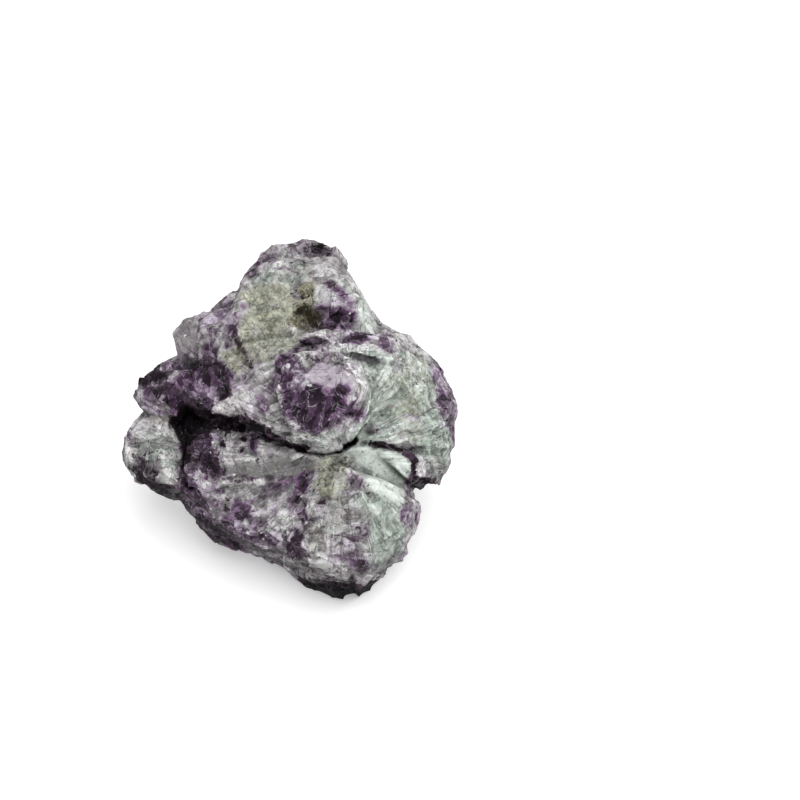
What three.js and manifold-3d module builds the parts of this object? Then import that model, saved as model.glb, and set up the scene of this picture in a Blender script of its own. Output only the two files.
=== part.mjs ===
// Raw lepidolite: one rough lump of lilac mica and pale green feldspar, as broken from the rock.
// Millimetres, +Z up. It rests on a flat parting face at Z = 0, and the origin is on that face, under the
// middle of the stone's box.
//
// The stone is one solid. It is shaped as it shows to an eye that looks down on it from the front, in three
// measures: across to the right, up the picture, and out towards the eye. LEAN_BACK then turns it onto its
// resting face.
import * as THREE from 'three';
import { ConvexGeometry } from 'three/addons/geometries/ConvexGeometry.js';
import { ImprovedNoise } from 'three/addons/math/ImprovedNoise.js';
import { TessellateModifier } from 'three/addons/modifiers/TessellateModifier.js';
import { mergeVertices } from 'three/addons/utils/BufferGeometryUtils.js';
import Module from 'manifold-3d';

const wasm = await Module();
wasm.setup();

// Driving sizes
const LEAN_BACK = THREE.MathUtils.degToRad(40);
const GROUND = -25.5; // the height of the resting face, once the stone leans back
const GROUND_BOX = 120; // the side of the box that cuts it flat
const FACET = 7; // the widest facet of a broken face
const ROUGHNESS = 0.55; // how far a broken face strays from flat
const SCAR_ROUGHNESS = 0.8;
const GRAIN = 4.6; // the distance from one rise of a broken face to the next
const GROOVES = 3; // one ledge in so many is a groove

// Ledges: how many places are tried, half of the shortest and of the longest, half of the narrowest and of the
// widest, how deep they are, how far one long edge lifts out of the face in radians, and the most that the face
// may fall away under their ends
const FINE_LEDGES = {
  tries: 92, length: [2.4, 5.2], width: [1.3, 2.9], depth: 1.6, tilt: [0.15, 0.4], gap: 0.9,
};
const BROAD_LEDGES = {
  tries: 110, length: [5, 9.5], width: [3, 6.5], depth: 3.4, tilt: [0.12, 0.34], gap: 3, hidden: true,
};

const WELD = 1e-3; // corners closer than this are one

const noise = new ImprovedNoise();
const vector = (p) => new THREE.Vector3(...p);
const golden = Math.PI * (3 - Math.sqrt(5));

// A closed mesh as a solid that can be joined and cut
function solid(geometry) {
  geometry.deleteAttribute('normal');
  geometry.deleteAttribute('uv');
  const welded = mergeVertices(geometry, WELD / 10);
  return new wasm.Manifold(new wasm.Mesh({
    numProp: 3,
    vertProperties: new Float32Array(welded.attributes.position.array),
    triVerts: new Uint32Array(welded.index.array),
  }));
}

function meshOf(made) {
  const { numProp, vertProperties, triVerts } = made.getMesh();
  const geometry = new THREE.BufferGeometry();
  const points = new THREE.InterleavedBuffer(vertProperties, numProp);
  geometry.setAttribute('position', new THREE.InterleavedBufferAttribute(points, 3, 0));
  geometry.setIndex(new THREE.BufferAttribute(triVerts, 1));
  return geometry.toNonIndexed();
}

const hull = (points) => solid(new ConvexGeometry(points));

// Uneven ground that every broken face shares, so that faces which meet stay joined
function unevenness(p) {
  const [x, y, z] = [p.x / GRAIN, p.y / GRAIN, p.z / GRAIN];
  return vector([
    noise.noise(x, y, z),
    noise.noise(y + 31.4, z, x),
    noise.noise(z, x + 17.7, y),
  ]);
}

function roughHull(points, rough, facet = FACET) {
  const geometry = new TessellateModifier(facet, 8).modify(new ConvexGeometry(points));
  const place = geometry.attributes.position;
  const p = new THREE.Vector3();
  for (let i = 0; i < place.count; i += 1) {
    p.fromBufferAttribute(place, i);
    p.addScaledVector(unevenness(p), 2 * rough);
    place.setXYZ(i, p.x, p.y, p.z);
  }
  return solid(geometry);
}

// The far side of the stone, which the blocks of its front reach back to
const FAR = {
  top: [3, 25, -21],
  topLeft: [-12, 15, -19],
  left: [-18, -1, -17],
  topRight: [18, 14, -19],
  right: [23, 1, -17],
  back: [4, 12, -30],
  baseBackLeft: [-7, 0, -34],
  baseBackRight: [14, -1, -33.5],
  baseLeft: [-12, -13, -23],
  baseRight: [20, -13, -23],
  baseFrontLeft: [-4, -25, -13.5],
  baseFrontRight: [16, -27, -12],
};

// A block of rock with broken faces between its corners, some of them on the far side of the stone
const block = ({ corners, far = [], rough = ROUGHNESS }) => (
  roughHull([...corners, ...far.map((name) => FAR[name])].map(vector), rough));

// Crystals that spread from one point in blades, each a wedge that steps up or down from the next
const OVERLAP = 0.2; // how far a blade runs into the next, as a share of its width
// How the crown rises and falls from the focus to the rim
const CROWN_ALONG = [[0.25, 0.55], [0.5, 0.85], [0.72, 0.93], [0.9, 0.66]];
function fan({ focus, rim, crown, step, depth = 14, facet = 11, rough = 0.3, seed }) {
  const start = vector(focus);
  const inward = vector([0, 0, -depth]);
  return rim.slice(1).map((end, i) => {
    const lift = step * (i % 2 ? 1 : -1) + step * noise.noise(i * 2.37, seed * 5.1, 0.4);
    const [first, last] = [rim[i], end].map(vector);
    const points = [start];
    for (const edge of [first.clone().lerp(last, -OVERLAP), last.clone().lerp(first, -OVERLAP)]) {
      for (const [share, rise] of CROWN_ALONG) {
        points.push(start.clone().lerp(edge, share).add(vector([0, 0, crown * rise + lift])));
      }
      points.push(start.clone().lerp(edge, 1 + 0.02 * lift));
    }
    const behind = points.map((p) => p.clone().lerp(start, 0.3).add(inward));
    return roughHull([...points, ...behind], rough, facet);
  });
}

const BLOCKS = {
  core: {
    corners: [
      [-13, 15, -1], [10, 17, 1], [22, 6, 0], [21, -8, 0], [8, -22, 2],
      [-9, -15, -1], [-15, -2, -5], [-4, 4, -2],
      [8, -5, -2],
    ],
    far: Object.keys(FAR),
  },
  crest: {
    corners: [
      [4.9, 33, -10], [7.6, 31.3, -9.5], [-3.8, 32, -11], [-8, 28.8, -10], [-9, 25.2, -9], [11, 28.6, -10],
      [-7.8, 24.5, -6], [2.2, 28, -6], [6.7, 24, -3.5], [8.5, 19.4, -1], [4.3, 14.9, 2.5], [-0.5, 9, 5],
      [-4.7, 10, 4], [-9.2, 13, 1], [-8.6, 19.4, -3],
    ],
    far: ['top', 'topLeft'],
  },
  upperRight: {
    corners: [
      [10.5, 28, -10], [12, 24.8, -9], [13, 21.2, -8], [16.7, 17.5, -8], [12, 24, -5], [13, 18, 0],
      [15.5, 15, 0], [7, 26, -5], [9, 18, -1],
    ],
    far: ['top', 'topRight'],
  },
  rightShoulder: {
    corners: [
      [16.7, 17.5, -8], [21.7, 14.7, -8], [25.2, 11.7, -8], [27.2, 10, -8], [28.4, 7.4, -8], [15, 15, 1],
      [19.3, 13.3, 2], [23, 10.5, 1], [26, 8, 0], [20, 9, 5],
    ],
    far: ['topRight', 'right'],
  },
  shell: {
    corners: [
      [1.6, 14, 8.5], [7.6, 16.2, 7], [13.9, 15.3, 5.5], [19.3, 13.5, 2.5], [22.6, 10.8, 0.5], [20.2, 10, 5.5],
      [13, 11.6, 9.8], [5.8, 12.5, 11], [8, 10, 0], [18, 8, -2],
    ],
    rough: 0.3,
  },
  hood: {
    corners: [
      [-9.5, 13, 1.5], [-0.5, 9, 7.5], [-5, 10, 5.5], [3, 11.5, 10.8], [10, 11.5, 10.5], [15.5, 8, 9.5],
      [4.3, 15, 4], [-13.2, 1.2, 9.6], [-10.6, 4.6, 8.4], [-4.7, -1.5, 12.2],
      [2.2, -4.4, 13.6], [-0.5, 3.2, 13.8],
      [-3, 7.5, 10], [8, 0, 14], [10.4, -5.2, 12], [1.2, -5, 12.4], [15, 0, 10.5], [16.5, 4, 9], [-8, 4, -4],
      [12, 2, -4], [8.5, 17, 0],
    ],
    rough: 0.4,
  },
  knob: {
    corners: [
      [-1.6, 11, 13.2], [4, 12, 12.8], [10.3, 11.3, 12.6], [13.6, 9.6, 12.4],
      [-2.2, 6.4, 16], [0.4, 3.4, 17.4], [4.6, 5.4, 19.4], [12.4, 5.4, 18.2], [14.4, 6, 15.4],
      [15.1, 4.1, 13], [14.8, 0.5, 14], [12.4, -3.2, 13.8], [10.6, -5.4, 12.6],
      [7.8, -6.2, 12.8], [4.6, -6, 12.8],
      [1.8, -4.6, 13], [0.8, -0.4, 16.4], [5.4, -2.2, 17.8], [10.6, 1, 18.2], [1, 8, 3], [12, 8, 3], [11, 0, 3],
      [4, -2, 3],
    ],
    rough: 0.16,
  },
  leaf: {
    corners: [
      [9.8, -5.8, 10.4], [12.2, -4.8, 9.8], [16, -5.2, 8.9], [19.6, -6.6, 7.4],
      [21.4, -9, 6.3], [20.8, -11.4, 6.1],
      [17.4, -10.4, 7.6], [12, -7.8, 9.6], [10, -5, 2], [14, -7, -6], [19, -9, -6],
    ],
    rough: 0.06,
  },
  wedge: {
    corners: [
      [20.8, -7.6, 3.4], [23.6, -8.6, 3.8], [20.6, -11.4, 2], [22.4, -12.6, 1.4], [24.6, -12, 1.6],
      [22, -9, -5], [24, -11.4, -5],
    ],
    rough: 0.3,
  },
  shelf: {
    corners: [
      [-14, 1.5, -2], [-12, 2, 2.4], [-4, 1, 6.2], [6, -2, 8.4], [-11.2, -6.8, 7.6], [-2, -7, 9.4], [8.5, -7.4, 10.6],
      [-10.2, -9.8, 7.6], [-1, -10.2, 9.4], [6.8, -10.4, 10.4], [-6, -9, -8], [6, -9, -8], [6, 2, -6], [-8, 3, -6],
    ],
    rough: 0.14,
  },
  lowerLeft: {
    corners: [
      [-4.7, -26, -5], [-8.8, -24.6, -5], [-13.3, -22.8, -6], [-17, -19.9, -6],
      [-19.2, -16.8, -6], [-20.9, -13.5, -5],
      [-13, -11.5, 5.6], [0, -11.4, 8], [6, -11, 8.8], [-5, -17, 8.5],
      [-12, -17, 5], [-16, -13, 3.5], [3, -24, 6],
      [-8, -21, 3], [0, -28, -6],
    ],
    far: ['baseLeft', 'baseFrontLeft'],
  },
  rubble: {
    corners: [
      [-17.6, -2, -1], [-10.6, 0.6, 3.5], [-10, -7, 6.8], [-8.6, -11.8, 7], [-11.6, -12.6, 6.4],
      [-18, -12.8, 2.8], [-13, 1, 0],
      [-15, -5, 4.6], [-18.4, -5.6, 1.4], [-13, -7, -8], [-18.6, -8, -6],
    ],
  },
  apex: {
    corners: [
      [1.4, -8.4, 9], [4.4, -6.6, 10.2], [8.6, -6.2, 10.8], [11.4, -7.4, 10.2],
      [13.2, -9.4, 9.2], [12, -12.4, 8.8],
      [7, -13.4, 9.6], [2.2, -12, 8.6], [7.4, -9, 11.4], [5, -9, 3], [11, -10, 3],
    ],
    rough: 0.4,
  },
  footLump: {
    corners: [
      [1, -12.4, 9.4], [5.4, -9.8, 10.8], [10.5, -10, 12.6], [14, -13.5, 14],
      [18.6, -17, 11.2], [20.6, -20, 7],
      [18.4, -24.2, 4.4], [12.8, -28.6, 2], [7.6, -30, 1], [2.4, -27, 2], [-1.4, -22.6, 4.6], [-1.4, -17, 8.4],
      [5, -15, 12.8], [10, -19, 13.4], [6.4, -22, 11], [14.5, -22, 10.4], [4, -16, -6], [14, -18, -6],
    ],
    rough: 0.7,
  },
  saddle: {
    corners: [
      [-21, 7, -3], [-13, 9, 3], [-20.4, 4, -1.5], [-11, 2.6, 6], [-17, 2, 0.5], [-15.4, 0, -1], [-14, 10, -1],
      [-9, 5, 6], [-16.6, 5.6, 2.4],
    ],
    far: ['left'],
  },
  heel: {
    corners: [
      [-23, 6, -9], [-10, 8, -7], [-9, -12, -8], [-17, -15, -10], [-24, -9, -10], [-25, 0, -10],
    ],
    far: ['left', 'baseLeft', 'topLeft'],
  },
  purpleLobe: {
    corners: [
      [-26.7, 1.9, -4], [-28.4, 4, -5], [-27.3, 7.8, -6], [-25, 9, -6], [-22.4, 7.7, -7], [-21.6, 6.6, -1],
      [-18.5, 5, 1], [-24, 3, 1], [-20, 0, 0], [-17, 8, 0], [-24, -1, -2],
    ],
    far: ['left', 'topLeft'],
  },
  nodule: {
    corners: [
      [-27.8, 0.5, -5], [-26.5, 2, -6], [-29.2, -3.4, -5], [-30.8, -7.6, -5],
      [-29.8, -9.1, -5], [-28.2, -11.7, -5],
      [-25.4, -13.8, -5], [-20.8, -14.9, -5], [-26, -2, 0], [-28, -7, 0.5], [-25, -11, 1], [-19.2, -12.6, 1.4],
      [-19.2, -5.4, 0.4], [-23, 1, -1], [-23, -7, 3.5],
    ],
    far: ['left', 'baseLeft'],
  },
  corner: {
    corners: [
      [-20.8, 11.4, -7], [-21.4, 16.3, -8], [-20, 18.7, -8], [-15.2, 20.3, -7], [-17, 14, -3], [-14, 9, -1],
      [-13, 17, -3.5], [-20, 12, -4],
    ],
    far: ['topLeft', 'left'],
  },
  leftSlope: {
    corners: [
      [-15, 20.1, -7], [-11.8, 23, -8], [-9.2, 23.7, -8], [-8.6, 10.4, 3.5], [-13, 5, 3], [-17, 12, -2],
      [-8, 20, -3], [-5, 4, 5], [-14, 3, 1],
    ],
    far: ['topLeft'],
  },
};

const FANS = {
  right: {
    focus: [12.6, -4, 9],
    rim: [
      [15, 13, 0], [19.5, 13, -2], [24, 12, -5], [27.7, 9, -7],
      [29.6, 6, -7], [30.4, 2.9, -6], [30.2, -0.5, -5],
      [30.4, -4.3, -4.5],
    ],
    crown: 7,
    step: 0.18,
    seed: 3,
  },
  lowerRight: {
    focus: [14.5, -4.6, 8],
    rim: [[30.2, -4.2, -4.5], [29.6, -8.4, -4], [27.6, -12, -3], [24.6, -12.8, -1]],
    crown: 6.5,
    step: 0.4,
    seed: 4,
    depth: 12,
  },
  foot: {
    focus: [8, -7.6, 10.5],
    rim: [
      [22.4, -13.2, -1], [24, -16.2, -2], [23, -20.6, -4], [20.6, -25.6, -5], [13.9, -32, -6],
      [8.8, -33, -7], [3.6, -31, -7], [-0.6, -28.4, -6],
    ],
    crown: 11.5,
    step: 0.2,
    facet: 6,
    rough: 0.5,
    seed: 5,
  },
};

// The cleft between the lump at the left and the body
const CLEFT = [
  [-19.4, 2.6, 14], [-15, 2.4, 14], [-18.9, -3, 14], [-15.6, -2.2, 14], [-19.2, -8.4, 14], [-18.3, -8.4, 14],
  [-17.6, 1.4, -5], [-17.4, -1.6, -4.5], [-18.5, -6, -0.5],
];

// Corners that broke off the far side
const SCARS = [
  [[-11, 29, -14], [3, 38, -13.4], [4, 38, -32], [-12, 30, -32], [-7, 20, -18.5], [3.4, 23, -18], [9, 35, -17],
    [9.5, 34, -32], [9.5, 23.4, -21.5]],
  [[15, 25, -13], [25, 18, -13], [30, 8, -15], [17, 27, -32], [31, 10, -32],
    [15.6, 12.6, -19], [22, 7, -18.5]],
  [[-23, 15, -13], [-15, 25, -13], [-25, 2, -14], [-27, 14, -32], [-14, 26, -32],
    [-12.6, 11, -20], [-16.4, 1, -17.6]],
];

// Lumps that stand out between them
const LUMPS = [
  [[-6, 8, -28], [2, 14, -28.6], [11, 12, -29.6], [13, 4, -32], [-4, 2, -34],
    [4, 18, -25], [6, 4, -33], [0, 6, -20]],
  [[17, 6, -22], [22.6, 2, -20], [23, -6, -18], [18, -6, -27], [16, 1, -28], [20, 8, -17], [10, 0, -16]],
  [[-18, 6, -15], [-14.6, 12, -19], [-17, 0, -19], [-11, 4, -25], [-9, 12, -23], [-12, -2, -26], [-6, 4, -14]],
  [[3, 22, -20.5], [9, 26, -14], [13, 18, -20], [6, 15, -26], [-1, 17, -24], [12, 22, -15], [4, 14, -12]],
];

// Books of mica: where each shows from the front (across, up), how wide it is, and which way it leans
const SHEET = 0.5; // the thickness of one sheet
const BOOKS = [
  { at: [-28.2, -6.4], width: 2.8, lean: [-0.9, 0.1], sheets: 4 },
  { at: [-25.8, 4.6], width: 2.8, lean: [-0.3, 0.3], sheets: 2 },
  { at: [10.4, 20.6], width: 3.6, lean: [0.3, 0.3], sheets: 2 },
  { at: [6.3, -26], width: 2, lean: [0.1, -0.1], sheets: 1 },
  { at: [-7, -19.6], width: 3, lean: [-0.2, -0.2], sheets: 2 },
];

// Points spread evenly over a ball of radius 1
function ballPoints(count) {
  return Array.from({ length: count }, (_, i) => {
    const height = 1 - (2 * (i + 0.5)) / count;
    const ring = Math.sqrt(1 - height * height);
    return new THREE.Vector3(Math.cos(golden * i) * ring, Math.sin(golden * i) * ring, height);
  });
}

const between = ([low, high], share) => low + (high - low) * share;
const chance = (i, row) => THREE.MathUtils.clamp(0.5 + 0.9 * noise.noise(i * 0.731, row * 3.17, 5.3), 0, 1);

// A flat piece with six uneven corners, from low to high
function plate({ length, width, low, high, i }) {
  const points = [];
  for (let corner = 0; corner < 6; corner += 1) {
    const turn = (Math.PI / 3) * (corner + 0.9 * chance(i + 7.3 * corner, 3));
    points.push(vector([Math.cos(turn) * length * 0.85, Math.sin(turn) * width * 0.85, low]));
    points.push(vector([Math.cos(turn) * length, Math.sin(turn) * width, high]));
  }
  return points;
}

const leaning = (p) => p.clone().applyAxisAngle(vector([1, 0, 0]), LEAN_BACK);

// Whether the stone lies close under a point, looking along its outward direction
function lies(surface, point, up, gap) {
  const high = 4;
  const [hit] = new THREE.Raycaster(point.clone().addScaledVector(up, high), up.clone().negate())
    .intersectObject(surface);
  return hit !== undefined && Math.abs(hit.distance - high) < gap;
}

// Whether the stone hides a point from the front
const behind = (surface, point) => (
  new THREE.Raycaster(point, vector([0, 0, 1])).intersectObject(surface).length > 0);

// Ledges and grooves of one kind. Each points away from the fans' focus, and one long edge lifts out of the
// face. Where they are hidden, none of them shows from the front
function ledges(surface, { tries, length, width, depth, tilt, gap, hidden = false }) {
  const [middle, focus] = [vector([3, -1, -9]), vector(FANS.foot.focus)];
  return ballPoints(tries).flatMap((direction, i) => {
    const from = direction.clone().multiplyScalar(90).add(middle);
    const [hit] = new THREE.Raycaster(from, direction.clone().negate()).intersectObject(surface);
    if (!hit || leaning(hit.point).z < GROUND + length[1]) return [];
    const up = hit.face.normal;
    const across = up.clone().cross(hit.point.clone().sub(focus)).normalize();
    const along = across.clone().cross(up);
    const [half, halfWidth] = [between(length, chance(i, 1)), between(width, chance(i, 2))];
    const ends = [half, -half].map((share) => hit.point.clone().addScaledVector(along, share));
    if (!ends.every((end) => lies(surface, end, up, gap))) return [];
    const turned = new THREE.Matrix4().makeBasis(along, across, up).setPosition(hit.point);
    turned.multiply(new THREE.Matrix4().makeRotationX(between(tilt, chance(i, 4)) * (i % 2 ? 1 : -1)));
    const groove = i % GROOVES === 0;
    const [low, high] = groove ? [0, 2 * depth] : [-depth, 0];
    const points = plate({ length: half, width: halfWidth, low, high, i }).map((p) => p.applyMatrix4(turned));
    if (hidden && !points.every((p) => behind(surface, p))) return [];
    return [{ groove, piece: hull(points) }];
  });
}

const surfaceOf = (made) => new THREE.Mesh(meshOf(made), new THREE.MeshBasicMaterial());
const broken = (whole, pieces) => (
  pieces.reduce((rest, { groove, piece }) => (groove ? rest.subtract(piece) : rest.add(piece)), whole));

// A stack of uneven sheets, each a little smaller and pushed aside from the one under it
function book(surface, { at: [across, up], width, lean, sheets }) {
  const eye = vector([across, up, 90]);
  const [hit] = new THREE.Raycaster(eye, vector([0, 0, -1])).intersectObject(surface);
  const axis = hit.face.normal.clone().add(vector([...lean, 0])).normalize();
  const turned = new THREE.Matrix4().compose(
    hit.point,
    new THREE.Quaternion().setFromUnitVectors(vector([0, 0, 1]), axis),
    vector([1, 1, 1]),
  );
  return Array.from({ length: sheets }, (_, i) => {
    const reach = width * (1 - 0.14 * i);
    const low = i ? (i - 0.2) * SHEET : -width;
    return hull(plate({ length: reach, width: 0.75 * reach, low, high: (i + 1) * SHEET, i: across + 0.13 * i })
      .map((p) => p.add(vector([0.16 * width * i, 0.1 * width * i, -0.5])).applyMatrix4(turned)));
  });
}

const join = (parts) => parts.reduce((whole, next) => whole.add(next));

function stone() {
  const { hood, knob, ...body } = BLOCKS;
  const cleft = hull(CLEFT.map(vector));
  let whole = join([...Object.values(body).map(block), ...Object.values(FANS).flatMap(fan)]);
  for (const scar of SCARS) whole = whole.subtract(roughHull(scar.map(vector), SCAR_ROUGHNESS));
  whole = join([whole, ...LUMPS.map((corners) => block({ corners }))]).subtract(cleft);
  whole = join([whole, block(hood), block(knob)]);
  whole = broken(whole, ledges(surfaceOf(whole), BROAD_LEDGES));
  const surface = surfaceOf(whole);
  whole = broken(whole, ledges(surface, FINE_LEDGES));
  whole = join([whole, ...BOOKS.flatMap((one) => book(surface, one))]);
  const ground = new THREE.BoxGeometry(GROUND_BOX, GROUND_BOX, GROUND_BOX);
  ground.translate(0, 0, GROUND - GROUND_BOX / 2).rotateX(-LEAN_BACK);
  return whole.subtract(solid(ground));
}

// The outer skin alone, which leaves out the bubbles that blocks can shut in between them
function skin(geometry) {
  const { index, attributes } = mergeVertices(geometry, WELD);
  const triangles = [];
  for (let i = 0; i < index.count; i += 3) {
    const corners = [0, 1, 2].map((k) => index.getX(i + k));
    if (new Set(corners).size === 3) triangles.push({ corners, beside: [] });
  }
  const edges = new Map();
  for (const triangle of triangles) {
    for (const [k, corner] of triangle.corners.entries()) {
      const edge = [corner, triangle.corners[(k + 1) % 3]].sort((m, n) => m - n).join();
      edges.set(edge, [...(edges.get(edge) ?? []), triangle]);
    }
  }
  for (const [one, other, ...more] of edges.values()) {
    if (more.length) continue;
    one.beside.push(other);
    other.beside.push(one);
  }
  const reached = new Set();
  let largest = [];
  for (const triangle of triangles) {
    if (reached.has(triangle)) continue;
    reached.add(triangle);
    const patch = [triangle];
    for (const { beside } of patch) {
      for (const next of beside) {
        if (reached.has(next)) continue;
        reached.add(next);
        patch.push(next);
      }
    }
    if (patch.length > largest.length) largest = patch;
  }
  const kept = new THREE.BufferGeometry();
  kept.setAttribute('position', attributes.position);
  kept.setIndex(largest.flatMap(({ corners }) => corners));
  return kept.toNonIndexed();
}

const geometry = skin(meshOf(stone()));
geometry.rotateX(LEAN_BACK);
geometry.computeBoundingBox();
const centre = geometry.boundingBox.getCenter(new THREE.Vector3());
geometry.translate(-centre.x, -centre.y, -geometry.boundingBox.min.z);

const material = new THREE.MeshStandardMaterial({ color: 0x9c93a0, roughness: 0.8, metalness: 0 });
const mesh = new THREE.Mesh(geometry, material);
mesh.name = 'lepidolite';

const group = new THREE.Group();
group.add(mesh);
export default group;
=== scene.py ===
"""Raw lepidolite: the stone, its minerals and the studio, in metres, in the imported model's frame."""
import math

import bpy
import numpy as np
from mathutils import Matrix, Vector, noise
from mathutils.bvhtree import BVHTree


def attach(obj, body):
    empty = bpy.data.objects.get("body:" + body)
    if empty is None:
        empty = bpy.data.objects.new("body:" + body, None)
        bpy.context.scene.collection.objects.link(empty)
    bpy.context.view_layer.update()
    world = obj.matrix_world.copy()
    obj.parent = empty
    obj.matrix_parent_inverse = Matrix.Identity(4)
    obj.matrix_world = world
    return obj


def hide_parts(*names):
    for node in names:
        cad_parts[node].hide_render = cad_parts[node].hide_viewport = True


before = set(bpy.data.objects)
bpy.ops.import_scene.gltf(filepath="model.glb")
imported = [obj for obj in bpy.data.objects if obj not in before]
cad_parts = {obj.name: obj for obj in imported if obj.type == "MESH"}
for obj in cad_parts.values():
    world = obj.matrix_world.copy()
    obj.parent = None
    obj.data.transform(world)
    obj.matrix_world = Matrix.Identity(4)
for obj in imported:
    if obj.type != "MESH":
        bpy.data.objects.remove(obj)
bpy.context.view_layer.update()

MM = 0.001
LOOK_DOWN = math.radians(50)  # how steeply the camera looks down on the stone
FRONT = np.array((-0.020, -3.052, 25.5))  # the middle of the stone's front, in mm
ACROSS = np.array((1.0, 0.0, 0.0))
UPWARD = np.array((0.0, math.sin(LOOK_DOWN), math.cos(LOOK_DOWN)))
OUTWARD = np.array((0.0, -math.cos(LOOK_DOWN), math.sin(LOOK_DOWN)))
FACING = np.stack([ACROSS, UPWARD, OUTWARD])

FOCUS = FRONT + 10 * ACROSS - 6 * UPWARD - 4 * OUTWARD  # the crystals of the front spread from here
FAN_RADIUS = 14  # mm from the focus, where the fans' fibres have the same width as the rest
FAN_CORE = 0.5  # mm, added to the distance from the focus, so that it is never 0
FAN_ALONG = 0.12  # how much a pattern still changes along a fibre
FAN_INWARD = 0.3  # and from the front inwards

FINE = 0.41  # mm, the width of one face of the stone's surface
WELD = 0.001  # mm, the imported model's corners this close are one point
FLAT_BELOW = 0.25  # mm, the part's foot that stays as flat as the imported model's
ROUGH_ABOVE = 5.0  # mm, the height at which the surface has all of its relief
TALLEST = 0.6  # mm, which no lump reaches, so that none is a spike

# Where no patch is: how much of each mineral, how unevenly, in lumps of which size in mm, of how many octaves
MINERALS = {
    "purple": (0.5, 0.55, 7.0, 3),
    "green": (0.35, 0.6, 13.0, 2),
    "olive": (0.1, 0.5, 10.0, 3),
    "pale": (0.5, 0.35, 6.0, 2),
    "dark": (-0.1, 0.5, 6.0, 3),
    "smooth": (0.1, 0.3, 12.0, 2),
    # glitter sets how many painted glints, white specks in the colour, there are
    "glitter": (0.0, 0.15, 8.0, 2),
}
MOST = 1.3  # the largest amount of any of them
PATCH_FRAY = 0.7  # mm, how far noise pushes the patches' borders about
PATCH_MIDDLE = 0.8  # mm round a patch's middle, where its depth is read off the stone
PATCH_HIDDEN = -8.0  # mm, the depth of a patch with no stone at its middle
PATCH_DEPTH = 2.5  # mm, how far a patch goes in, on top of its own length
PATCH_BLUR = 0.25  # how softly one patch passes into the next
PATCH_END = (1.3, 2.2)  # in a patch's own lengths, where noise takes its place

HALF = (0.5, 0.5, 0.5)  # the middle of all random colours
STRAND_SQUEEZE = 0.9  # how much of a strand's length is taken out of the noise that draws it
DRAWN_SQUEEZE = 0.81  # and out of the flakes that are drawn along it
SHARD = 1.0  # mm, the single flakes of mica
SLAB = 2.3  # mm, the books that they lie in
CRACKED = 4 / 3  # mm, the pieces that the stained rock is cracked into
SHINE = 0.14  # how much the rock mirrors

# The rock's colours, with those of its painted shade and painted glints, as red, green and blue from 0 to 255.
# A mineral's tones run from dark to light.
STONE_TONES = (0.0, (80, 74, 78)), (0.35, (134, 129, 131)), (0.65, (172, 169, 169)), (1.0, (204, 203, 202))
GREEN_TONES = (0.0, (76, 88, 78)), (0.35, (134, 146, 136)), (0.65, (168, 179, 169)), (1.0, (204, 213, 206))
OLIVE_TONES = (0.0, (58, 55, 42)), (0.35, (112, 110, 88)), (0.65, (154, 154, 130)), (1.0, (184, 186, 164))
PURPLE_TONES = (0.0, (36, 21, 37)), (0.3, (83, 60, 85)), (0.6, (129, 105, 131)), (1.0, (190, 177, 195))
# the dark mineral, whose tones also paint the shade of the front's hollows, crevices and undersides
DARK_TONES = (0.0, (6, 4, 6)), (0.6, (24, 17, 23)), (1.0, (72, 58, 70))
DARK_STAIN = (44, 40, 28)
FLECK = (34, 21, 36)
VEIN = (184, 172, 188)
CRACK = (78, 76, 60)
LINE = (50, 46, 47)
# painted shade in crevices and under overhangs
PAINTED_SHADE_COLOUR = (30, 24, 29)
LIGHT_RIM = (205, 200, 206)
DARK_RIM = (44, 36, 42)
# painted glints: white specks standing for flakes that catch the lamp
PAINTED_GLINT_COLOUR = (246, 244, 247)
LIT = 0.88  # holds all of them back, because the light is strong enough to turn the paper white
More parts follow.
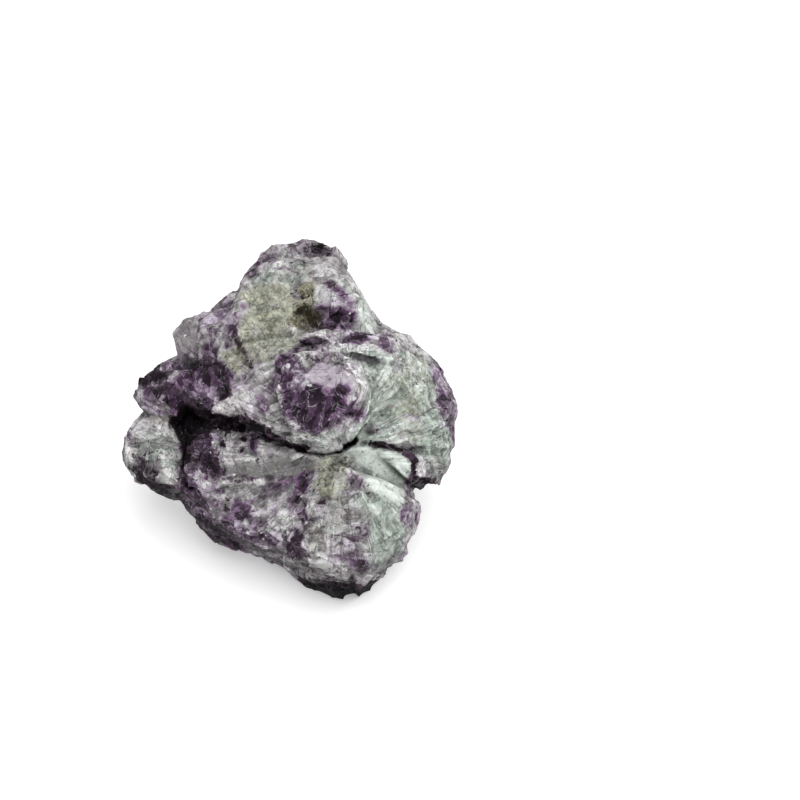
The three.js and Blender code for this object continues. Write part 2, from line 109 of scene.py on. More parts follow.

# What the front shows, one patch a line: across and up from its middle, half its length and half its
# breadth, all in mm, the turn of its length in degrees, and how much of each mineral it holds. Dark is
# partly a dark mineral and partly painted shade, laid where hollows, crevices and undersides lie in shadow.
PATCHES = (
    # the crest
    (-5.6, 27.6, 3.0, 1.6, 50, dict(purple=0.45, pale=0.35, dark=0.05)),
    (-3.4, 29.2, 1.2, 1.4, 50, dict(purple=0.5, dark=0.1, pale=0.45)),
    (-1.4, 28.8, 2.2, 1.8, 0, dict(pale=0.7, purple=0.3)),
    (0.5, 31.0, 2.6, 0.8, 8, dict(pale=0.35, purple=0.2)),
    (2.8, 31.2, 1.6, 1.0, 0, dict(dark=0.4, purple=0.3, pale=0.15)),
    (5.0, 31.6, 1.6, 1.0, 0, dict(pale=0.1, purple=0.45, dark=0.7)),
    (6.8, 30.6, 1.1, 0.9, 0, dict(dark=0.6, purple=0.5, pale=0.2)),
    (8.0, 28.8, 2.4, 2.0, -50, dict(pale=0.5, green=0.15, smooth=0.6)),
    (10.2, 26.6, 3.2, 1.4, -60, dict(pale=0.7, green=0.25, smooth=0.5)),
    (6.0, 27.4, 2.2, 1.2, -35, dict(pale=0.8, green=0.3)),
    (9.2, 24.8, 3.6, 0.8, -45, dict(pale=1.0, green=0.5)),
    (1.4, 27.8, 2.0, 1.0, 0, dict(dark=0.3, green=0.5, pale=0.4)),
    (2.6, 25.6, 1.8, 1.4, 0, dict(green=0.6, pale=0.6, olive=0.2)),
    (-4.0, 25.6, 3.8, 1.4, 0, dict(green=0.6, pale=0.8, olive=0.2)),
    (-9.0, 24.2, 1.2, 1.0, 45, dict(pale=0.75, green=0.2, olive=0.2)),
    # the stained slab
    (-4.4, 22.2, 4.2, 2.2, 0, dict(olive=0.7, green=0.5, pale=0.9, smooth=0.4)),
    (-5.0, 17.6, 3.8, 3.0, 0, dict(olive=0.7, green=0.5, pale=0.8, smooth=0.2)),
    (-1.0, 19.6, 3.0, 2.6, 0, dict(olive=0.65, green=0.55, pale=0.85)),
    (-3.4, 13.6, 4.4, 3.0, 0, dict(olive=0.6, green=0.5, pale=0.75, smooth=0.2)),
    (0.8, 13.6, 1.6, 1.8, 0, dict(olive=0.55, green=0.5, pale=0.7)),
    (1.4, 22.4, 1.2, 1.8, 0, dict(dark=0.4, olive=0.3, green=0.4, pale=0.5)),
    (3.4, 23.8, 1.2, 2.4, 0, dict(olive=0.85, pale=0.4, dark=0.2)),
    (4.0, 18.6, 2.8, 1.2, -20, dict(olive=1.0, dark=0.55, pale=0.05)),
    (2.2, 17.2, 1.4, 1.2, 0, dict(olive=0.9, dark=0.3, pale=0.3)),
    (5.6, 16.4, 1.4, 0.5, -30, dict(dark=0.6, olive=0.6, pale=0.2)),
    (-9.6, 16.0, 0.7, 1.4, 0, dict(dark=0.5, purple=0.7, pale=0.2)),
    (-8.4, 12.4, 2.4, 0.4, -45, dict(dark=0.7, olive=0.5)),
    (-7.2, 10.0, 2.2, 0.4, -40, dict(dark=0.6, olive=0.5, pale=0.3)),
    (-10.6, 11.2, 2.2, 1.4, -40, dict(olive=0.65, pale=0.85, green=0.4)),
    (-9.0, 9.2, 1.4, 0.9, -40, dict(olive=0.65, pale=0.7)),
    (-3.0, 10.4, 2.4, 1.1, 0, dict(olive=0.5, green=0.5, pale=0.7)),
    # the purple hollow right of it
    # painted shadow at the hollow's upper left
    (7.6, 24.0, 0.7, 1.6, 40, dict(dark=0.5, purple=0.7, pale=0.2)),
    (9.6, 22.6, 1.2, 0.9, -45, dict(purple=0.8, pale=0.35)),
    (6.0, 22.8, 1.4, 1.0, 0, dict(pale=1.0, purple=0.4)),
    (8.2, 20.9, 2.0, 0.9, -5, dict(pale=1.2, purple=0.3, glitter=0.2)),
    (10.6, 20.8, 0.9, 1.4, -60, dict(purple=0.7, pale=0.4)),
    (6.4, 19.6, 1.0, 0.9, 0, dict(dark=0.4, purple=0.8)),
    (8.8, 18.2, 3.2, 1.4, 0, dict(purple=1.1, dark=0.15, pale=0.1)),
    (7.6, 16.9, 2.2, 0.7, 0, dict(purple=1.0, dark=0.45)),
    # the light band on the right edge
    (12.8, 22.8, 3.2, 1.0, -50, dict(green=0.5, pale=1.05, smooth=0.3)),
    (14.2, 17.6, 1.8, 3.4, -10, dict(green=0.6, pale=1.4, smooth=0.6)),
    (16.8, 17.6, 2.4, 1.0, -50, dict(green=0.4, pale=0.6)),
    # the shell over the knob
    (4.2, 15.4, 3.2, 0.6, 8, dict(pale=0.95, green=0.2)),
    (1.2, 16.4, 0.9, 0.8, 0, dict(pale=0.9, purple=0.2)),
    (4.6, 13.5, 2.4, 0.7, 5, dict(dark=0.65, purple=0.8, pale=0.2)),
    (1.5, 12.6, 0.8, 0.8, 0, dict(dark=0.6, purple=0.6, pale=0.2)),
    (8.6, 15.3, 1.6, 0.9, 0, dict(pale=0.85, purple=0.5)),
    (11.6, 14.4, 3.0, 1.0, 5, dict(purple=0.95, pale=0.35, dark=0.1)),
    (13.4, 14.8, 1.0, 0.7, 0, dict(purple=1.0, dark=0.4)),
    (16.6, 15.4, 1.8, 1.4, -40, dict(purple=0.55, pale=0.7)),
    (17.4, 13.2, 1.4, 1.3, 0, dict(purple=0.7, pale=0.5, dark=0.1)),
    (19.6, 14.8, 2.8, 1.0, -45, dict(pale=0.65, purple=0.2)),
    (22.8, 13.4, 2.6, 1.4, -40, dict(pale=0.85, green=0.1)),
    (6.8, 12.4, 1.4, 0.9, 0, dict(pale=0.8, purple=0.35)),
    (11.2, 12.2, 3.0, 0.8, 0, dict(pale=0.85, green=0.4)),
    (8.6, 10.9, 1.4, 0.35, 15, dict(dark=0.45, pale=0.5)),
    (5.2, 10.6, 1.6, 0.6, 0, dict(dark=0.35, purple=0.3, pale=0.6)),
    (3.2, 11.0, 0.7, 0.9, 0, dict(pale=1.3, glitter=0.5)),
    # the knob
    # its purple is the rock's; its dark is painted shadow under the shell's overhang
    (-0.4, 10.2, 2.0, 1.2, 30, dict(purple=1.1, dark=0.5, pale=0.05)),
    (-2.2, 6.6, 1.2, 2.4, -10, dict(purple=1.0, dark=0.1, pale=0.25)),
    (0.4, 7.4, 2.0, 1.4, 30, dict(purple=0.85, pale=0.5)),
    (2.6, 9.0, 1.8, 0.9, 0, dict(pale=0.8, purple=0.7)),
    (3.6, 6.6, 1.6, 0.5, -20, dict(pale=0.95, purple=0.5)),
    (2.2, 5.6, 2.0, 0.6, 0, dict(purple=0.85, pale=0.5)),
    (8.4, 7.6, 4.8, 1.9, -4, dict(pale=0.78, purple=0.46, smooth=1.0)),
    (11.0, 8.8, 2.0, 0.8, -20, dict(pale=0.75, purple=0.4, glitter=0.4)),
    (8.0, 10.0, 2.4, 0.5, -5, dict(pale=0.65, purple=0.3, dark=0.2)),
    (12.6, 8.2, 0.7, 0.6, 0, dict(pale=1.2, glitter=1.0)),
    (13.4, 6.4, 1.3, 1.5, 0, dict(pale=0.8, green=0.3)),
    (9.8, 4.7, 1.6, 0.9, 0, dict(purple=1.1, dark=0.5)),
    (5.0, 4.0, 4.6, 1.3, 0, dict(purple=1.2, dark=0.1, pale=0.15)),
    (4.6, 1.8, 4.8, 1.6, 0, dict(purple=1.1, dark=0.15, pale=0.2)),
    (0.9, 2.8, 1.3, 1.6, 0, dict(purple=1.15, dark=0.2, pale=0.1)),
    (5.2, -1.4, 2.6, 1.5, 0, dict(purple=1.1, dark=0.3, pale=0.15)),
    (9.4, 2.4, 1.8, 2.2, 20, dict(purple=1.05, pale=0.25, dark=0.1)),
    (12.8, 1.0, 1.3, 0.9, 0, dict(purple=1.0, dark=0.4, pale=0.1)),
    (12.0, 3.8, 1.2, 1.2, 0, dict(pale=0.8, purple=0.3)),
    (8.6, -0.8, 1.6, 1.1, 30, dict(purple=0.8, pale=0.5)),
    (10.8, -1.4, 1.8, 0.9, 35, dict(pale=0.85, purple=0.4)),
    (9.0, -3.6, 3.4, 1.2, 18, dict(pale=0.95, green=0.45)),
    (3.2, -3.6, 3.2, 1.0, -18, dict(pale=0.85, green=0.4)),
    (1.2, -1.4, 1.5, 1.8, -30, dict(pale=0.75, green=0.2, purple=0.35)),
    (5.6, -5.0, 3.0, 0.6, 0, dict(pale=0.65, green=0.4)),
    # the wing left of it
    (-8.8, 3.2, 3.6, 1.3, 28, dict(pale=0.75, purple=0.25, smooth=0.3)),
    (-7.0, 6.6, 2.8, 1.4, 40, dict(pale=0.7, purple=0.35)),
    (-4.8, 8.2, 2.0, 1.4, 0, dict(pale=0.8, green=0.2, purple=0.15)),
    (-7.6, 1.4, 3.0, 0.7, -8, dict(pale=0.6, purple=0.3)),
    (-4.0, 2.2, 1.1, 1.4, 20, dict(purple=0.8, pale=0.4)),
    (-3.8, 5.4, 1.4, 2.0, 60, dict(pale=0.65, green=0.2, purple=0.3)),
    (-1.6, 2.2, 1.3, 3.2, -25, dict(pale=0.75, green=0.3, smooth=0.3)),
    (-2.4, -0.6, 1.6, 1.1, -35, dict(pale=0.75, green=0.2, smooth=0.3)),
    (-0.6, -2.2, 1.6, 0.8, -30, dict(pale=0.75, green=0.3)),
    # the grey corner and the slope above the lobe
    (-18.6, 14.2, 1.8, 3.4, 0, dict(pale=0.3, purple=0.12, smooth=0.8)),
    (-17.2, 17.0, 1.0, 1.2, 0, dict(pale=0.65, smooth=0.4)),
    (-18.2, 11.2, 2.2, 1.2, 0, dict(pale=0.3, purple=0.35, smooth=0.6)),
    (-15.6, 15.4, 1.0, 2.2, 0, dict(pale=0.5, purple=0.35)),
    (-14.6, 12.4, 1.2, 1.6, 0, dict(dark=0.4, purple=0.8, pale=0.3)),
    (-12.4, 17.6, 2.4, 2.2, 45, dict(purple=0.5, pale=0.65, dark=0.05)),
    (-12.4, 20.4, 2.4, 1.4, 40, dict(purple=0.4, pale=0.5)),
    (-9.4, 20.4, 1.1, 2.2, 60, dict(dark=0.1, purple=0.5, pale=0.5)),
    (-13.0, 14.4, 2.4, 1.1, 45, dict(pale=0.85, purple=0.4)),
    (-11.0, 13.0, 1.2, 1.0, 0, dict(purple=0.75, dark=0.2, pale=0.3)),
    (-16.0, 8.6, 3.2, 1.6, 0, dict(purple=1.05, dark=0.5, pale=0.1)),
    (-12.0, 7.6, 1.6, 1.5, 0, dict(purple=1.1, dark=0.55)),
    (-15.8, 6.0, 3.4, 1.4, 0, dict(purple=1.0, pale=0.3, dark=0.15)),
    (-14.6, 4.2, 2.2, 1.2, 0, dict(purple=0.85, pale=0.45)),
    (-13.2, 3.0, 0.9, 1.2, 0, dict(pale=0.9, purple=0.4)),
    (-11.0, 5.0, 1.4, 1.4, 0, dict(dark=0.7, purple=0.8)),
    # the lobe
    (-24.6, 7.6, 2.6, 1.2, 0, dict(purple=1.0, dark=0.7)),
    (-22.6, 9.0, 1.8, 0.5, 0, dict(purple=0.4, pale=0.3, dark=0.2)),
    (-26.6, 7.8, 1.8, 1.6, 0, dict(purple=1.0, dark=0.75)),
    (-20.8, 7.4, 1.6, 1.0, -30, dict(pale=0.85, purple=0.5)),
    (-24.4, 6.2, 1.0, 0.6, 0, dict(pale=0.4, purple=0.8)),
    (-22.8, 5.2, 2.4, 1.2, 0, dict(purple=1.0, dark=0.55)),
    (-27.0, 4.4, 1.2, 1.8, 20, dict(pale=0.75, purple=0.2)),
    (-24.2, 3.2, 2.0, 1.0, 20, dict(purple=0.75, pale=0.45)),
    (-23.4, 1.6, 2.6, 0.9, 0, dict(pale=0.5, purple=0.45)),
    (-20.6, 3.0, 1.2, 2.0, 0, dict(purple=0.95, dark=0.4)),
    (-25.8, 0.8, 1.4, 1.0, 0, dict(pale=0.3, purple=0.3, dark=0.3)),
    # the nodule under it
    (-23.0, -0.4, 2.4, 0.9, 0, dict(olive=0.45, pale=0.65, purple=0.2)),
    (-27.0, -1.8, 1.4, 1.2, 30, dict(pale=0.9, purple=0.1, green=0.1)),
    (-22.6, -3.8, 3.0, 1.5, 0, dict(green=0.5, pale=0.7)),
    (-24.4, -2.2, 1.4, 0.7, 0, dict(purple=0.3, pale=0.5, dark=0.1)),
    (-19.8, -2.8, 1.2, 1.6, 0, dict(green=0.3, pale=0.6)),
    (-25.0, -6.0, 2.0, 1.8, 0, dict(green=0.5, pale=0.5, dark=0.25)),
    (-21.2, -7.0, 1.8, 2.2, 0, dict(green=0.5, pale=0.65)),
    (-24.2, -8.0, 1.4, 0.9, 0, dict(dark=0.5, green=0.3, pale=0.4)),
    (-24.0, -9.6, 2.2, 0.6, -10, dict(dark=0.9, pale=0.1)),
    (-21.2, -10.6, 1.8, 1.3, 0, dict(pale=0.75, green=0.35)),
    (-29.2, -7.0, 0.8, 2.2, 10, dict(pale=1.3, glitter=1.0, smooth=0.6)),
    (-27.4, -6.6, 0.8, 1.8, 0, dict(pale=0.6, dark=0.2)),
    # painted shade along the lower left edge, which faces down
    (-26.8, -10.8, 2.6, 0.8, -40, dict(dark=0.9, pale=0.2)),
    (-23.6, -12.4, 2.6, 1.2, -35, dict(dark=0.75, pale=0.2, green=0.2)),
    (-20.6, -13.4, 1.6, 0.8, -30, dict(dark=0.6, pale=0.3)),
    # the black hollow and the rubble in it; the black of the hollow and along the cave under the wing is
    # painted shade
    (-17.6, 0.6, 2.4, 1.8, -40, dict(dark=1.2, purple=0.6)),
    (-13.6, -0.6, 3.4, 1.2, -15, dict(dark=1.2)),
    (-18.0, -3.4, 1.3, 2.4, 10, dict(dark=1.1, purple=0.5)),
    (-8.6, -0.9, 3.8, 0.7, -12, dict(dark=1.2)),
    (-3.6, -2.4, 3.6, 0.55, -28, dict(dark=1.2)),
    (1.8, -5.1, 3.2, 0.4, -14, dict(dark=1.1)),
    (-16.0, -2.4, 0.9, 0.9, 0, dict(dark=0.6, purple=0.6, pale=0.3)),
    (-12.6, -3.2, 0.7, 0.6, 0, dict(pale=0.9, purple=0.5, glitter=0.5)),
    (-12.9, -4.9, 0.6, 0.6, 0, dict(pale=1.1, glitter=0.5)),
    (-11.6, -6.2, 0.9, 0.9, 0, dict(pale=1.1, purple=0.2, glitter=0.5)),
    (-15.0, -5.0, 2.2, 1.7, 0, dict(purple=0.9, dark=0.45, pale=0.35)),
    (-18.4, -6.8, 1.0, 2.0, 0, dict(dark=0.9, purple=0.6)),
    (-14.2, -7.8, 2.8, 1.2, -40, dict(dark=0.75, purple=0.8, pale=0.2)),
    (-16.8, -8.6, 1.6, 0.9, 0, dict(purple=0.6, dark=0.4, pale=0.4)),
    # the shelf and its smooth edge
    (-9.4, -3.4, 1.4, 1.2, 0, dict(pale=0.75, purple=0.2)),
    (-9.4, -5.9, 1.2, 0.9, 0, dict(pale=0.9)),
    (-10.9, -4.5, 0.4, 0.7, 0, dict(dark=0.8, purple=0.5)),
    (-7.7, -3.5, 0.6, 0.4, 0, dict(dark=0.8, purple=0.3)),
    (-3.4, -3.6, 1.0, 0.3, -20, dict(dark=0.6)),
    (-7.9, -5.5, 0.3, 0.6, 0, dict(dark=0.7)),
    (-6.2, -4.4, 1.0, 1.6, -20, dict(purple=0.75, pale=0.95)),
    (-4.6, -5.4, 0.6, 1.3, 10, dict(pale=1.1)),
    (-2.4, -4.6, 1.6, 0.9, 0, dict(dark=0.1, pale=0.6, smooth=0.3)),
    (-1.0, -6.1, 2.0, 0.5, 0, dict(pale=0.75)),
    (2.6, -6.5, 2.6, 0.6, 0, dict(pale=0.6, purple=0.1, green=0.2)),
    (-8.0, -7.2, 2.6, 0.7, 0, dict(pale=0.85, green=0.3)),
    (-3.0, -8.8, 7.2, 1.2, 1, dict(green=0.4, pale=0.24, smooth=0.9, olive=0.25)),
    (2.6, -8.2, 2.6, 1.2, 0, dict(green=0.4, pale=0.24, smooth=0.7, olive=0.2)),
    # a thin painted shadow under the strip's lower edge
    (-7.4, -10.8, 2.6, 0.3, 4, dict(dark=0.5, purple=0.4, pale=0.2)),
    # the right fan
    (16.8, 9.2, 2.4, 2.4, 0, dict(green=0.9, pale=1.1, olive=0.2)),
    (19.0, 6.6, 2.6, 2.0, 0, dict(green=0.9, olive=0.55, pale=0.95)),
    (22.6, 9.4, 2.8, 2.2, 0, dict(green=0.75, pale=1.1, olive=0.45)),
    (24.4, 5.6, 1.8, 2.6, 0, dict(green=0.8, pale=0.95, olive=0.4)),
    (17.2, 3.0, 2.4, 3.0, 50, dict(green=0.8, pale=0.8, olive=0.25)),
    (21.4, 2.4, 2.4, 2.2, 0, dict(green=0.75, pale=0.75, olive=0.5)),
    (22.4, -1.6, 2.6, 2.0, 0, dict(green=0.6, olive=0.5, pale=0.8)),
    (17.6, -1.2, 2.4, 1.4, -20, dict(green=0.7, pale=1.0)),
    (15.6, -2.6, 1.0, 0.6, 0, dict(dark=0.6, green=0.4, pale=0.4)),
    (28.6, 3.4, 1.3, 2.8, 0, dict(purple=0.9, pale=0.4, dark=0.1)),
    (27.8, 7.8, 1.2, 1.6, 0, dict(dark=0.15, purple=0.7, pale=0.5)),
    (26.0, -1.4, 2.0, 1.6, 0, dict(green=0.8, pale=0.7, smooth=0.3)),
    (27.8, -4.6, 1.6, 2.8, 0, dict(green=0.75, pale=0.6, smooth=0.3)),
    (13.4, -1.4, 1.6, 1.0, 45, dict(green=0.85, pale=0.95, smooth=0.5)),
    # the leaf, the crevice beside it and the fan under it
    (13.4, -3.6, 2.2, 1.1, 0, dict(green=0.8, pale=1.0, smooth=0.7)),
    (16.4, -7.6, 4.4, 1.8, -18, dict(green=0.8, pale=1.3, smooth=0.95)),
    (20.0, -10.4, 1.5, 1.5, 0, dict(green=0.8, pale=1.0, smooth=0.7)),
    # painted shade along the leaf's upper edge and in the crevice beside it
    (17.6, -4.9, 3.0, 0.5, -12, dict(green=0.4, dark=0.7)),
    (21.2, -6.4, 2.2, 0.4, -45, dict(dark=0.9, green=0.3)),
    (22.3, -8.8, 0.4, 2.4, 10, dict(dark=1.1, purple=0.4)),
    (22.4, -11.2, 1.2, 1.1, 0, dict(purple=0.95, dark=0.6)),
    (25.4, -5.6, 2.2, 1.6, 0, dict(green=0.75, pale=0.6)),
    (26.6, -8.8, 2.4, 1.4, -30, dict(green=0.5, pale=0.55, dark=0.15)),
    (24.0, -9.6, 0.9, 1.8, 0, dict(pale=0.85, purple=0.2)),
    (25.4, -11.8, 2.2, 1.0, 0, dict(purple=0.4, pale=0.2, dark=0.6)),
    # the foot
    (8.4, -8.4, 2.6, 1.8, 0, dict(olive=0.75, green=0.4, pale=1.25)),
    (6.8, -11.6, 1.8, 2.2, 0, dict(olive=0.85, green=0.4, pale=0.85)),
    (10.0, -10.8, 1.8, 1.4, 0, dict(olive=0.5, pale=1.2, green=0.3)),
    (12.2, -10.6, 1.3, 1.5, 0, dict(purple=0.5, olive=0.4, pale=0.45)),
    (6.4, -14.4, 0.7, 0.6, 0, dict(dark=0.75, pale=0.2)),
    (4.6, -13.4, 1.2, 1.5, 0, dict(pale=0.55, green=0.3)),
    (17.4, -11.8, 4.6, 1.3, -38, dict(green=0.7, pale=1.2, smooth=0.9)),
    (13.4, -13.8, 1.6, 1.0, 0, dict(green=0.5, pale=0.7)),
    (18.0, -15.6, 2.8, 2.0, -30, dict(green=0.9, pale=0.95, smooth=0.5)),
    (18.0, -20.0, 3.4, 2.4, 0, dict(green=0.8, pale=0.65, smooth=0.3)),
    (17.6, -24.0, 3.0, 2.2, 0, dict(green=0.7, pale=0.75)),
    (12.0, -17.0, 2.2, 2.2, 0, dict(purple=0.2, pale=0.45, green=0.3, olive=0.2, smooth=0.4)),
    (13.0, -20.6, 2.2, 1.4, 0, dict(purple=0.35, dark=0.35, pale=0.3)),
    (9.4, -15.4, 1.6, 1.6, 0, dict(pale=0.5, green=0.4, olive=0.3, smooth=0.4)),
    (8.6, -19.0, 1.4, 2.4, -60, dict(pale=0.65, green=0.3, olive=0.25, smooth=0.4)),
    (21.8, -17.4, 1.5, 1.7, 0, dict(purple=0.75, pale=0.45)),
    (22.8, -14.6, 1.4, 1.4, 0, dict(pale=0.6, purple=0.3)),
    (8.4, -23.8, 2.0, 1.0, 20, dict(purple=0.4, pale=0.8)),
    (10.6, -22.2, 2.8, 0.6, -5, dict(purple=0.3, pale=1.1)),
    (6.6, -26.0, 1.1, 1.1, 0, dict(pale=1.3, smooth=1.0)),
    (12.6, -24.0, 1.8, 0.9, 0, dict(purple=0.6, pale=0.3)),
    (13.6, -26.2, 1.1, 1.2, 0, dict(purple=0.95, dark=0.5, pale=0.1)),
    (10.4, -27.4, 2.4, 1.4, 0, dict(pale=0.7, green=0.15, olive=0.25, smooth=0.3)),
    (5.2, -22.6, 1.2, 2.6, 0, dict(olive=0.3, green=0.3, pale=0.7, smooth=0.3)),
    (3.6, -27.6, 3.6, 1.0, -22, dict(pale=0.4, dark=0.15, green=0.2)),
    (8.6, -28.9, 5.0, 0.7, 0, dict(pale=0.4, dark=0.3)),
    (16.0, -28.4, 2.4, 1.6, 35, dict(pale=0.55, green=0.2, smooth=0.3)),
    # painted shade on the foot's underside
    (8.8, -31.5, 6.0, 1.7, 0, dict(dark=1.3)),
    # the lower left
    (-15.6, -10.6, 2.4, 1.1, -30, dict(pale=0.95, purple=0.6)),
    (-12.4, -13.2, 2.2, 1.6, 0, dict(pale=0.75, purple=0.45)),
    (-17.0, -12.8, 1.3, 2.2, 10, dict(purple=0.9, dark=0.4, pale=0.2)),
    (-19.4, -11.4, 0.9, 1.4, 0, dict(dark=0.6, purple=0.6, pale=0.2)),
    (-16.2, -15.2, 1.6, 1.2, 0, dict(purple=0.7, dark=0.5, pale=0.3)),
    (-13.0, -16.6, 1.6, 1.3, 0, dict(pale=0.35, dark=0.25, purple=0.5)),
    (-10.6, -15.2, 0.9, 1.3, 0, dict(dark=0.5, pale=0.3)),
    # the dark along the lower left edge is painted shade; the purple is the rock's own
    (-17.4, -18.0, 2.4, 0.9, -50, dict(dark=0.6, purple=1.0)),
    (-13.4, -20.4, 2.4, 1.2, -25, dict(purple=1.1, dark=0.45, pale=0.1)),
    (-9.6, -20.6, 1.8, 1.6, 0, dict(purple=1.1, dark=0.25, pale=0.25)),
    (-11.4, -18.4, 1.6, 0.9, 0, dict(purple=0.75, pale=0.5)),
    (-8.4, -12.6, 2.4, 1.5, 0, dict(pale=0.9, green=0.1, purple=0.1)),
    (-5.4, -11.6, 1.4, 0.8, 0, dict(pale=1.0)),
    (-3.0, -13.0, 2.0, 1.1, 30, dict(purple=0.4, dark=0.15, pale=0.3, smooth=0.5)),
    (-0.4, -14.2, 2.6, 0.8, 42, dict(pale=0.8, purple=0.4)),
    (1.6, -13.2, 2.8, 0.8, 42, dict(purple=0.8, dark=0.1, pale=0.4)),
    (3.4, -10.8, 1.6, 0.7, 40, dict(dark=0.25, purple=0.7, pale=0.3)),
    (2.6, -16.4, 1.4, 1.6, 0, dict(dark=0.2, purple=0.4, pale=0.45)),
    (-3.4, -16.6, 2.6, 1.4, 20, dict(pale=1.15, purple=0.25)),
    (-8.4, -16.4, 2.4, 1.4, 40, dict(purple=0.95, pale=0.35)),
    (-6.8, -19.0, 1.8, 1.1, 0, dict(pale=0.8, purple=0.55)),
    (-4.6, -19.0, 0.9, 0.9, 0, dict(purple=0.5, pale=0.6)),
    (0.4, -18.6, 2.2, 1.8, 30, dict(pale=1.15, green=0.15)),
    (-3.6, -21.4, 2.4, 1.3, 0, dict(pale=0.95, purple=0.5, glitter=0.2)),
    (-6.8, -22.6, 1.8, 1.1, 0, dict(purple=0.55, pale=0.45)),
    (-1.6, -23.6, 2.2, 0.7, -5, dict(dark=0.1, purple=0.45, pale=0.6)),
    (1.9, -22.4, 1.4, 1.8, 0, dict(purple=1.05, dark=0.6, pale=0.1)),
    (1.2, -20.6, 0.8, 0.6, 20, dict(pale=1.1, purple=0.3)),
    (3.6, -21.6, 0.5, 1.2, 0, dict(pale=0.9, green=0.2)),
    (0.4, -24.0, 1.0, 0.7, 0, dict(dark=0.8, purple=0.7)),
    (-4.6, -25.0, 3.4, 0.7, -20, dict(pale=0.6, purple=0.2)),
    (-11.0, -22.8, 2.6, 0.7, -25, dict(dark=0.5, purple=0.8)),
)

# Bars of rock that fill slots between two lumps: from and to, as the front is seen, and how thick
GROOVE_FILLS = (
    ((-12, -10.9, 6.0), (-1, -11.1, 7.5), 2.2),
    ((-1.5, -11.1, 7.5), (6, -11.2, 8.6), 2.2),
    ((11.6, -8.8, 8.0), (17.4, -11.2, 5.9), 1.9),
    ((17.0, -11.0, 6.0), (21.4, -12.4, 3.6), 2.2),
    ((10.6, 16.9, -1.8), (14.6, 15.0, -1.6), 2.4),
)


# The mesh and its points

def pick(*pieces):
    """Select these pieces and nothing else. The first is the active one."""
    for thing in bpy.context.selected_objects:
        thing.select_set(False)
    for piece in pieces:
        piece.select_set(True)
    bpy.context.view_layer.objects.active = pieces[0]


def apply(piece, kind, **settings):
    """Add one modifier to a piece and apply it."""
    bpy.context.view_layer.objects.active = piece
    modifier = piece.modifiers.new(kind.title(), kind)
    for name, value in settings.items():
        setattr(modifier, name, value)
    bpy.ops.object.modifier_apply(modifier=modifier.name)


def read_all(items, name, width, kind):
    """One property of all points or edges of a mesh, with a row for each."""
    flat = np.empty(width * len(items), dtype=kind)
    items.foreach_get(name, flat)
    return flat.reshape(-1, width)


def corners_of(piece):
    return read_all(piece.data.vertices, "co", 3, float) / MM


def normals_of(piece):
    return read_all(piece.data.vertex_normals, "vector", 3, np.float32).astype(float)


def edges_of(piece):
    return read_all(piece.data.edges, "vertices", 2, np.int32)


def push_out(piece, points, heights):
    """Move the piece's points along their normals by the heights in mm, but not below the floor."""
    points = points + normals_of(piece) * heights[:, None]
    points[:, 2] = np.maximum(points[:, 2], 0)
    piece.data.vertices.foreach_set("co", (points * MM).ravel())
    piece.data.update()
    return points


def store(piece, name, values):
    """Keep one number for each point of the mesh, for the material to read."""
    layer = piece.data.attributes.new(name, "FLOAT", "POINT")
    layer.data.foreach_set("value", values.astype(np.float32))


def fill_groove(piece, start, end, thickness):
    """Join a bar of rock to the piece, so that a deep slot is left as a shallow dark line."""
    length = np.linalg.norm(end - start)
    middle = FRONT + ((start + end) / 2) @ FACING
    along = ((end - start) / length) @ FACING
    bpy.ops.mesh.primitive_cube_add(size=1, location=middle * MM)
    bar = bpy.context.object
    bar.scale = (length * MM, thickness * MM, thickness * MM)
    bar.rotation_euler = Vector(along).to_track_quat("X", "Z").to_euler()
    bpy.ops.object.transform_apply(location=True, rotation=True, scale=True)
    pick(piece, bar)
    bpy.ops.object.join()


# Patterns on the surface, point by point, in mm

def ramp(value, low, high):
    """0 below low, 1 above high, and smooth between."""
    share = np.clip((value - low) / (high - low), 0, 1)
    return share * share * (3 - 2 * share)


def at_least(low, share):
    """The share squeezed, so that 0 becomes low and 1 stays 1."""
    return low + (1 - low) * share


def from_front(points, origin=FRONT):
    """Points as the front is seen: across to the right, up the picture and out towards the eye."""
    return (points - origin) @ FACING.T


def along_fans(points):
    """The points with all that lies on one fibre drawn together, so that noise read there runs along it."""
    across, up, out = from_front(points, FOCUS).T
    radius = np.sqrt(across ** 2 + up ** 2) + FAN_CORE
    depth = radius * FAN_ALONG + out * FAN_INWARD
    return np.stack([across / radius * FAN_RADIUS, up / radius * FAN_RADIUS, depth], axis=1)


def clouds(points, size, seed, octaves=3):
    """Soft uneven noise, about -1 to 1, with lumps of the given size."""
    fading, finer = 0.9, 2.1  # how fast the finer layers of noise fade, and how much finer each one is
    shift = Vector((seed * 7.31, seed * 3.17, seed * 5.53))
    places = [Vector(p) / size + shift for p in points.tolist()]
    return np.array([noise.fractal(place, fading, finer, octaves) for place in places])


def drift(points, size, seed, octaves=3):
    """Soft noise in three directions, to push points about so that straight borders turn uneven."""
    return np.stack([clouds(points, size, seed + way, octaves) for way in range(3)], axis=1)


def splinters(points, size, seed):
    """Noise with sharp crests, 0 to 1, as on a torn face."""
    return 1 - np.abs(np.clip(clouds(points, size, seed, 4) * 1.6, -1, 1))


def terraces(points, size, step, seed):
    """Flat ledges a step apart with short steep fronts between them, as broken layers of mica leave."""
    level = clouds(points, size, seed) * size * 0.35 / step
    whole = np.floor(level)
    return (whole + ramp(level - whole, 0.35, 0.65)) * step


def blades(points, size, count, seed):
    """Overlapping blades, -0.5 to 0.5: each rises slowly to its edge and drops sharply to the next."""
    edge = 0.82  # where on its width a blade is highest
    level = clouds(points, size, seed) * count
    part = level - np.floor(level)
    return np.where(part < edge, part / edge, (1 - part) / (1 - edge)) - 0.5


